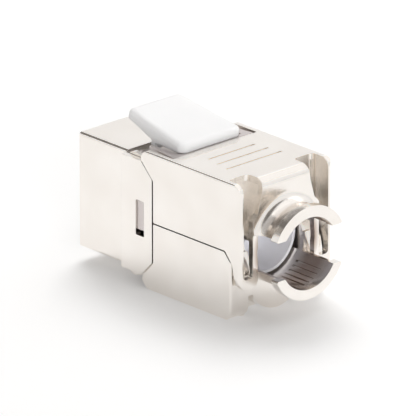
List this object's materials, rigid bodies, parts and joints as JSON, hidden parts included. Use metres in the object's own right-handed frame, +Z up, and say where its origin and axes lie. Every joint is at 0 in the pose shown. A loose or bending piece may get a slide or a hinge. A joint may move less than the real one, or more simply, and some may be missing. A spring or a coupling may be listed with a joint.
{
  "type": "shielded keystone jack",
  "caption": "Die-cast shielded keystone jack with a modular plug port, a white snap latch and two hinged wings that close round the cable at the rear.",
  "frame": {"origin": "under the middle of the jack, on the plane that the lower wing's underside lies in", "axes": "+X from the plug face towards the cable end, +Y across, +Z up towards the snap latch"},
  "size_m": [0.0364, 0.0164, 0.0222],
  "materials": {
    "nickel_cast": "satin nickel plate",
    "latch_plastic": "smooth white",
    "insert_plastic": "fine texture black",
    "comb_plastic": "ivory",
    "board": "green solder mask",
    "block_plastic": "white",
    "cap_plastic": "smooth light grey",
    "contact_gold": "gold plate",
    "terminal_metal": "tin plate",
    "pin_steel": "plain turned steel",
    "spring_metal": "bright nickel plate"
  },
  "bodies": {
    "jack": {"front_shell": "nickel_cast", "inner_frame": "nickel_cast", "port_insert": "insert_plastic", "contact_comb": "comb_plastic", "circuit_board": "board", "terminal_block": "block_plastic", "wire_manager": "cap_plastic", "contact_1": "contact_gold", "terminal_1": "terminal_metal", "contact_2": "contact_gold", "terminal_2": "terminal_metal", "contact_3": "contact_gold", "terminal_3": "terminal_metal", "contact_4": "contact_gold", "terminal_4": "terminal_metal", "contact_5": "contact_gold", "terminal_5": "terminal_metal", "contact_6": "contact_gold", "terminal_6": "terminal_metal", "contact_7": "contact_gold", "terminal_7": "terminal_metal", "contact_8": "contact_gold", "terminal_8": "terminal_metal", "hinge_pin_upper_left": "pin_steel", "hinge_pin_lower_left": "pin_steel", "shield_spring_left": "spring_metal", "hinge_pin_upper_right": "pin_steel", "hinge_pin_lower_right": "pin_steel", "shield_spring_right": "spring_metal"},
    "upper_wing": {"upper_wing": "nickel_cast"},
    "lower_wing": {"lower_wing": "nickel_cast"},
    "latch": {"keystone_latch": "latch_plastic"}
  },
  "joints": [
    {"name": "upper_wing_hinge", "type": "hinge", "parent": "jack", "child": "upper_wing", "pos_m": [-0.0072, 0, 0.01695], "axis": [0, -1, 0], "range_deg": [0, 90]},
    {"name": "lower_wing_hinge", "type": "hinge", "parent": "jack", "child": "lower_wing", "pos_m": [-0.0072, 0, 0.00215], "axis": [0, 1, 0], "range_deg": [0, 90]},
    {"name": "latch_flex", "type": "hinge", "parent": "jack", "child": "latch", "pos_m": [-0.00085, 0, 0.0187], "axis": [0, -1, 0], "range_deg": [0, 8], "stiffness_Nm_per_rad": 0.3}
  ]
}
